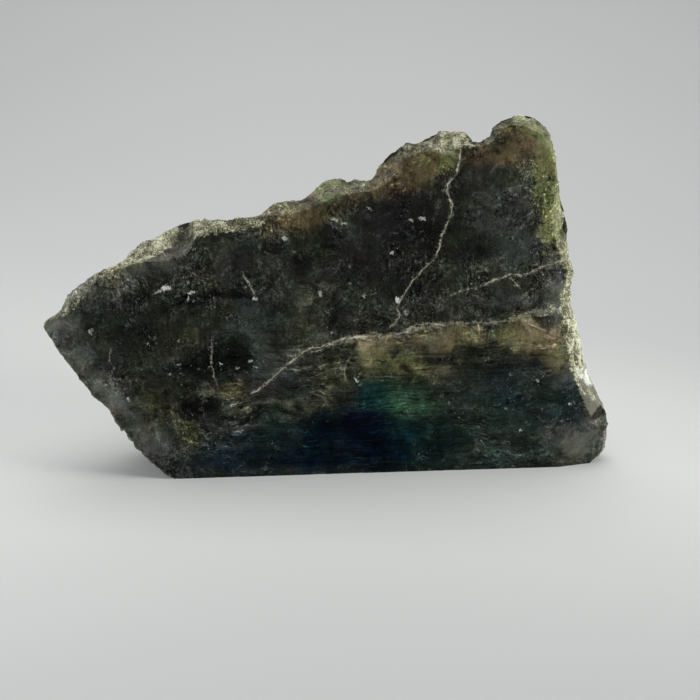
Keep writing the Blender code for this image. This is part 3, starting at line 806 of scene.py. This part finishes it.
def hairlineMask(tree, split, widths, axis, half, shows, crumbs, points):
    along, aside = ("Z", "X") if axis == "z" else ("X", "Z")
    runs, sideways = split.outputs[along], split.outputs[aside]
    firsts, seconds = zip(*points)
    start, end = min(firsts), max(firsts)
    low, span = min(seconds) - 1.0, max(seconds) - min(seconds) + 2.0
    share = addNode(tree, "MapRange", {0: runs, 1: start, 2: end, 3: 0.0, 4: 1.0})
    path = addNode(tree, "FloatCurve", {"Value": share})
    curve = path.mapping.curves[0]
    targets = [((a - start) / (end - start), (b - low) / span) for a, b in points]
    curve.points[0].location, curve.points[1].location = targets[0], targets[-1]
    for target in targets[1:-1]:
        curve.points.new(*target)
    for point in curve.points:
        point.handle_type = "VECTOR"
    path.mapping.update()
    middle = addNode(tree, "MapRange", {0: path, 1: 0.0, 2: 1.0, 3: low, 4: low + span})
    away = addNode(tree, "Math", {0: sideways, 1: middle}, operation="SUBTRACT")
    away = addNode(tree, "Math", {0: away}, operation="ABSOLUTE")
    hairline = mineral["hairline"]
    width = {0: widths, 1: 0.38, 2: 0.66, 3: hairline["thin"] * half, 4: hairline["thick"] * half}
    width = addNode(tree, "MapRange", width)
    line = {0: away, 1: 0.0, 2: width, 3: shows, 4: 0.0}
    line = addNode(tree, "MapRange", line, interpolation_type="SMOOTHSTEP")
    begins = addNode(tree, "MapRange", {0: runs, 1: start, 2: start + hairline["fade"]})
    ends = addNode(tree, "MapRange", {0: runs, 1: end, 2: end - hairline["fade"]})
    inside = addNode(tree, "Math", {0: begins, 1: ends}, operation="MULTIPLY")
    beside = addNode(tree, "MapRange", {0: away, 1: 0.0, 2: hairline["crumbReach"] * half, 3: crumbs, 4: 0.0})
    return [addNode(tree, "Math", {0: part, 1: inside}, operation="MULTIPLY") for part in (line, beside)]


def chipMask(tree, place, strength, x, z, halfWidth, halfHeight, tilt=0):
    ellipse = {"Location": (x, z * lean, z), "Scale": (halfWidth, 9.0, halfHeight)}
    ellipse["Rotation"] = (0.0, math.radians(-tilt), 0.0)
    centre = addNode(tree, "Mapping", {"Vector": place, **ellipse}, vector_type="TEXTURE")
    away = addNode(tree, "VectorMath", {0: centre}, operation="LENGTH")
    return addNode(tree, "MapRange", {0: away, 1: 1.1, 2: 0.7, 3: 0.0, 4: strength})


def facetMask(tree, place, facet):  # inside a shape whose corners go round against the clock
    inside = None
    for (x0, z0), (x1, z1) in zip(facet, facet[1:] + facet[:1]):
        length = math.hypot(x1 - x0, z1 - z0)
        across = (-(z1 - z0) / length, 0.0, (x1 - x0) / length)
        reach = addNode(tree, "VectorMath", {0: place, 1: across}, operation="DOT_PRODUCT")
        start = across[0] * x0 + across[2] * z0
        part = addNode(tree, "MapRange", {0: reach, 1: start, 2: start + 0.6})  # mm of soft edge
        inside = part if inside is None else addNode(tree, "Math", {0: inside, 1: part}, operation="MINIMUM")
    return inside


def zoneColours(tree, p):  # the base colour under all the zones, the blue flash, and where light shows
    colour, glow = toLinear(mineral["base"]), None
    for kind, (hexColour, strength, ragged, lets) in mineral["zones"].items():
        mask = zoneMask(tree, kind, p["layers"] if kind in flashKinds else p["clots"], ragged)
        if kind == "deepBlue":
            flash = mask
        if lets > 0.0:
            soft = addNode(tree, "Math", {0: mask, 1: lets}, operation="MULTIPLY")
            glow = soft if glow is None else addNode(tree, "Math", {0: glow, 1: soft}, operation="MAXIMUM")
        share = addNode(tree, "Math", {0: mask, 1: strength}, operation="MULTIPLY")
        over = {0: share, 6: colour, 7: toLinear(hexColour)}
        colour = addNode(tree, "Mix", over, data_type="RGBA")
    span = {7: (0.3, 0.3, 0.3), 8: (0.7, 0.7, 0.7), 9: mineral["driftLow"], 10: mineral["driftHigh"]}
    span["Vector"] = p["drift"].outputs["Color"]
    drift = addNode(tree, "MapRange", span, data_type="FLOAT_VECTOR")
    return addNode(tree, "VectorMath", {0: colour, 1: drift}, operation="MULTIPLY"), flash, glow


# light and dark, fine and strong: clouds, curly wool and fibres above, streaks along the layers below
def lightAndDark(tree, p, glow):
    kinds = ("threads", "woolly", "streaky")
    threads, woolly, streaky = (sumOf(tree, p, mineral["tones"][kind]) for kind in kinds)
    threads = addNode(tree, "Math", {0: threads, 1: p["busyShare"]}, operation="MULTIPLY")
    woolly = addNode(tree, "Math", {0: woolly, 1: threads}, operation="ADD")
    seams = addNode(tree, "MapRange", ramp(p["seams"], "seams"))
    streaky = addNode(tree, "Math", {0: streaky, 1: seams}, operation="ADD")
    depth = addNode(tree, "Mix", {0: p["layered"], 2: woolly, 3: streaky}, data_type="FLOAT")
    calm = addNode(tree, "MapRange", ramp(glow, "calm"))
    depth = addNode(tree, "Math", {0: depth, 1: calm}, operation="MULTIPLY")
    clusters = addNode(tree, "MapRange", ramp(p["busyShare"], "crumbClusters"))
    crumbly = {0: p["crumbly"], 1: mineral["crumbs"], 2: clusters}
    crumbly = addNode(tree, "Math", crumbly, operation="MULTIPLY_ADD")
    crumbs = []
    for name in ("roundCrumbs", "flatCrumbs"):
        pale = addNode(tree, "MapRange", ramp(p[name], "pale"))
        hollow = addNode(tree, "MapRange", ramp(p[name], "hollow"))
        crumbs.append(addNode(tree, "Math", {0: pale, 1: hollow}, operation="ADD"))
    pieces = addNode(tree, "Mix", {0: p["layered"], 2: crumbs[0], 3: crumbs[1]}, data_type="FLOAT")
    depth = addNode(tree, "Math", {0: pieces, 1: crumbly, 2: depth}, operation="MULTIPLY_ADD")
    return addNode(tree, "Math", {0: depth}, operation="EXPONENT")


def crustColour(tree, p):
    m = mineral
    lively = addNode(tree, "MapRange", ramp(p["nearFront"], "lively"))
    tone = sumOf(tree, p, mineral["tones"]["crust"])
    tone = addNode(tree, "Math", {0: tone, 1: lively}, operation="MULTIPLY")
    tone = addNode(tree, "Math", {0: tone}, operation="EXPONENT")
    mossy = addNode(tree, "MapRange", ramp(p["nearFront"], "mossNearFront"))
    moss = addNode(tree, "MapRange", ramp(p["clouds"], "moss"))
    mossy = addNode(tree, "Math", {0: moss, 1: mossy}, operation="MULTIPLY")
    # pale mint streaks: painted rim light on the rim and flank
    mintAndRimLight = zoneMask(tree, "mintAndRimLight", p["crust"], m["ragged"]["mintAndRimLight"])
    crust = toLinear(m["rind"])
    for share, over in ((p["nearFront"], "crust"), (mossy, "crustOlive"), (mintAndRimLight, "mintAndRimLight")):
        crust = addNode(tree, "Mix", {0: share, 6: crust, 7: toLinear(m[over])}, data_type="RGBA")
    crust = addNode(tree, "VectorMath", {0: crust, "Scale": tone}, operation="SCALE")
    floury = addNode(tree, "MapRange", ramp(tone, "floury"))
    floury = addNode(tree, "Math", {0: floury, 1: p["nearFront"]}, operation="MULTIPLY")
    return addNode(tree, "Mix", {0: floury, 6: crust, 7: toLinear(m["flour"])}, data_type="RGBA")


def coverWithCrust(tree, p, colour, crust, bruised, finish):
    makePatterns(tree, p, mineral["rindPatterns"])
    most = finish["crust"]
    cover = {0: sumOf(tree, p, mineral["tones"]["rind"]), 1: -0.45, 2: 0.5, 3: 0.15 * most, 4: most}
    cover = addNode(tree, "MapRange", cover)
    # broken faces turned to the front keep less of the pale crust, which is partly painted light: the
    # upturned crest stays paler
    facesFront = addNode(tree, "Attribute", attribute_name="facesFront").outputs["Fac"]
    turned = addNode(tree, "MapRange", ramp(facesFront, "turned"))
    cover = addNode(tree, "Math", {0: cover, 1: turned}, operation="MULTIPLY")
    cover = addNode(tree, "Math", {0: cover, 1: bruised}, operation="MAXIMUM")
    colour = addNode(tree, "VectorMath", {0: colour, "Scale": finish["fresh"]}, operation="SCALE")
    return addNode(tree, "Mix", {0: cover, 6: colour, 7: crust}, data_type="RGBA")


def layFacet(tree, p, colour):
    mask = facetMask(tree, shifted(tree, p["place"], p["wool"], mineral["jagged"]["facet"]), stoneFacet)
    mask = addNode(tree, "Math", {0: mask, 1: p["nearFront"]}, operation="MULTIPLY")
    tone = addNode(tree, "Math", {0: sumOf(tree, p, mineral["tones"]["facet"])}, operation="EXPONENT")
    over = addNode(tree, "VectorMath", {0: toLinear(mineral["facet"])[:3], "Scale": tone}, operation="SCALE")
    return addNode(tree, "Mix", {0: mask, 6: colour, 7: over}, data_type="RGBA")


def drawVeinsHighlightsAndShade(tree, p, colour):  # dark cracks and painted shadow lines first, pale veins and painted highlights over them
    shaky = shifted(tree, p["place"], p["wander"], mineral["jagged"]["veinWander"])
    shaky = shifted(tree, shaky, p["wool"], mineral["jagged"]["veinFray"])
    split = addNode(tree, "SeparateXYZ", {0: shaky})
    dust = addNode(tree, "MapRange", ramp(p["dust"], "dust"))
    breaks = addNode(tree, "MapRange", ramp(p["wool"], "breaks"))
    fades = addNode(tree, "MapRange", ramp(p["clots"], "fades"))
    breaks = addNode(tree, "Math", {0: breaks, 1: fades}, operation="MULTIPLY")
    for group, over in ((darkCracksAndShade, "crackAndShade"), (paleVeinsAndHighlights, "veinAndHighlight")):
        lines, besides = zip(*(hairlineMask(tree, split, p["widths"], *veinAndHighlight) for veinAndHighlight in group.values()))
        line = addNode(tree, "Math", {0: strongest(tree, lines), 1: breaks}, operation="MULTIPLY")
        beside = addNode(tree, "Math", {0: strongest(tree, besides), 1: dust}, operation="MULTIPLY")
        drawn = addNode(tree, "Math", {0: line, 1: beside}, operation="MAXIMUM")
        drawn = addNode(tree, "Math", {0: drawn, 1: p["nearFront"]}, operation="MULTIPLY")
        drawn = {0: drawn, 6: colour, 7: toLinear(mineral[over])}
        colour = addNode(tree, "Mix", drawn, data_type="RGBA")
    return colour


def scatterChips(tree, p, flash, colour):  # placed chips, and specks, pits and hairlines by rule
    jagged = shifted(tree, p["place"], p["wool"], mineral["jagged"]["chips"])
    chips = strongest(tree, [chipMask(tree, jagged, *chip) for chip in stoneChips])
    chips = addNode(tree, "Math", {0: chips, 1: p["nearFront"]}, operation="MULTIPLY")
    teal = zoneMask(tree, "teal", p["layers"], mineral["ragged"]["teal"])
    flash = addNode(tree, "Math", {0: flash, 1: teal}, operation="MAXIMUM")
    clear = addNode(tree, "MapRange", ramp(flash, "clear"))
    cluster = addNode(tree, "MapRange", ramp(p["busyShare"], "speckClusters"))
    cluster = addNode(tree, "Math", {0: cluster, 1: clear}, operation="MULTIPLY")
    specks = []
    for size, radius, chance, shows in mineral["specks"]:
        cells = addNode(tree, "TexVoronoi", {"Vector": jagged, "Scale": 1 / size}, feature="F1")
        speck = {0: cells.outputs["Distance"], 1: radius / size, 2: 0.3 * radius / size}
        speck = addNode(tree, "MapRange", speck)
        picked = addNode(tree, "SeparateXYZ", {0: cells.outputs["Color"]}).outputs["X"]
        picked = addNode(tree, "MapRange", {0: picked, 1: 1.0 - chance, 2: 1.0, 3: 0.0, 4: shows})
        speck = addNode(tree, "Math", {0: speck, 1: picked}, operation="MULTIPLY")
        specks.append(addNode(tree, "Math", {0: speck, 1: cluster}, operation="MULTIPLY"))
    pits = {0: specks.pop(), 6: colour, 7: toLinear(mineral["crackAndShade"])}
    colour = addNode(tree, "Mix", pits, data_type="RGBA")
    fleck = strongest(tree, specks)
    contour = addNode(tree, "Math", {0: p["hairs"], 1: 0.5}, operation="SUBTRACT")
    contour = addNode(tree, "Math", {0: contour}, operation="ABSOLUTE")
    hairs = addNode(tree, "MapRange", ramp(contour, "hairs"))
    rare = addNode(tree, "MapRange", ramp(p["clots"], "rareHairs"))
    rare = addNode(tree, "Math", {0: rare, 1: clear}, operation="MULTIPLY")
    hairs = addNode(tree, "Math", {0: hairs, 1: rare}, operation="MULTIPLY")
    bright = {0: strongest(tree, [chips, fleck, hairs]), 6: colour, 7: toLinear(mineral["mintAndRimLight"])}
    return addNode(tree, "Mix", bright, data_type="RGBA")


def wearArris(tree, p, colour, crust, bruised, least):  # chipped pale, most beside bruised crust
    worn = {0: bruised, 1: mineral["arrisBruise"], 2: p["arris"]}
    worn = addNode(tree, "Math", worn, operation="MULTIPLY_ADD")
    worn = addNode(tree, "Math", {0: worn, 1: sumOf(tree, p, mineral["tones"]["worn"])}, operation="ADD")
    worn = addNode(tree, "MapRange", ramp(worn, "worn"))
    wear = addNode(tree, "MapRange", {0: bruised, 1: 0.0, 2: 1.0, 3: least, 4: 0.95})
    worn = addNode(tree, "Math", {0: worn, 1: wear}, operation="MULTIPLY")
    return addNode(tree, "Mix", {0: worn, 6: colour, 7: crust}, data_type="RGBA")


def labradorite(name, finish):
    material, tree = newMaterial(name)
    p = placesToFollow(tree)
    makePatterns(tree, p, mineral["patterns"])
    p["busyShare"] = addNode(tree, "MapRange", ramp(p["busy"], "busy"))
    for painted in ("layered", "nearFront", "height", "crumbly", "arris"):
        p[painted] = addNode(tree, "Attribute", attribute_name=painted).outputs["Fac"]

    colour, flash, glow = zoneColours(tree, p)
    shade = lightAndDark(tree, p, glow)
    colour = addNode(tree, "VectorMath", {0: colour, "Scale": shade}, operation="SCALE")
    cool = {0: flash, 6: (1.0, 1.0, 1.0, 1.0), 7: mineral["flashTint"]}
    cool = addNode(tree, "Mix", cool, data_type="RGBA")
    colour = addNode(tree, "VectorMath", {0: colour, 1: cool}, operation="MULTIPLY")

    bruised = zoneMask(tree, "bruised", p["crust"], mineral["ragged"]["bruised"])
    crust = crustColour(tree, p)
    if finish["crust"] > 0.0:
        colour = coverWithCrust(tree, p, colour, crust, bruised, finish)
    if finish["veins"]:
        makePatterns(tree, p, mineral["veinPatterns"])
        colour = layFacet(tree, p, colour)
        colour = drawVeinsHighlightsAndShade(tree, p, colour)
        colour = scatterChips(tree, p, flash, colour)
    colour = wearArris(tree, p, colour, crust, bruised, finish["wornEdge"])

    low, high = finish["roughness"]
    roughness = addNode(tree, "MapRange", {0: p["clots"], 1: 0.3, 2: 0.7, 3: low, 4: high})
    relief = sumOf(tree, p, finish["relief"])
    bump = addNode(tree, "Bump", {"Height": relief, "Strength": 1.0, "Distance": mm})
    surface = {"Base Color": colour, "Roughness": roughness, "Normal": bump}
    surface.update({"IOR": mineral["indexOfRefraction"], "Specular IOR Level": finish["specular"]})
    shader = addNode(tree, "BsdfPrincipled", surface)
    addNode(tree, "OutputMaterial", {"Surface": shader.outputs["BSDF"]})
    return material


finishes = {
    # ground on a wheel and left unpolished: hardly any sheen, so the colour shows dark and deep
    "groundLabradorite": {
        "crust": 0.0, "veins": True, "wornEdge": 0.15, "specular": 0.025, "roughness": (0.34, 0.5),
        "relief": {"wool": 0.10, "clots": 0.10, "layers": 0.08, "grain": 0.04},  # mm
    },
    # broken with a hammer: dull and crumbly, and pale where it is bruised
    "brokenLabradorite": {
        "crust": 0.9, "veins": True, "wornEdge": 0.15, "specular": 0.4, "roughness": (0.6, 0.85),
        "fresh": 1.5,  # how much brighter the stone between the crust is
        "relief": {"wool": 0.7, "clots": 0.8, "layers": 0.3, "grain": 0.35},
    },
    # cut by a diamond saw: flat and matt, with the colour showing
    "sawnLabradorite": {
        "crust": 0.15, "veins": False, "wornEdge": 0.5, "specular": 0.3, "roughness": (0.45, 0.6),
        "fresh": 1.3,
        "relief": {"wool": 0.08, "clots": 0.06, "layers": 0.05, "grain": 0.06},
    },
}
for name, finish in finishes.items():
    fine.materials.append(labradorite(name, finish))
print("stone materials made")

stone = newObject("labradoriteStone", fine)
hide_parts(chunkNode)
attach(stone, "root")
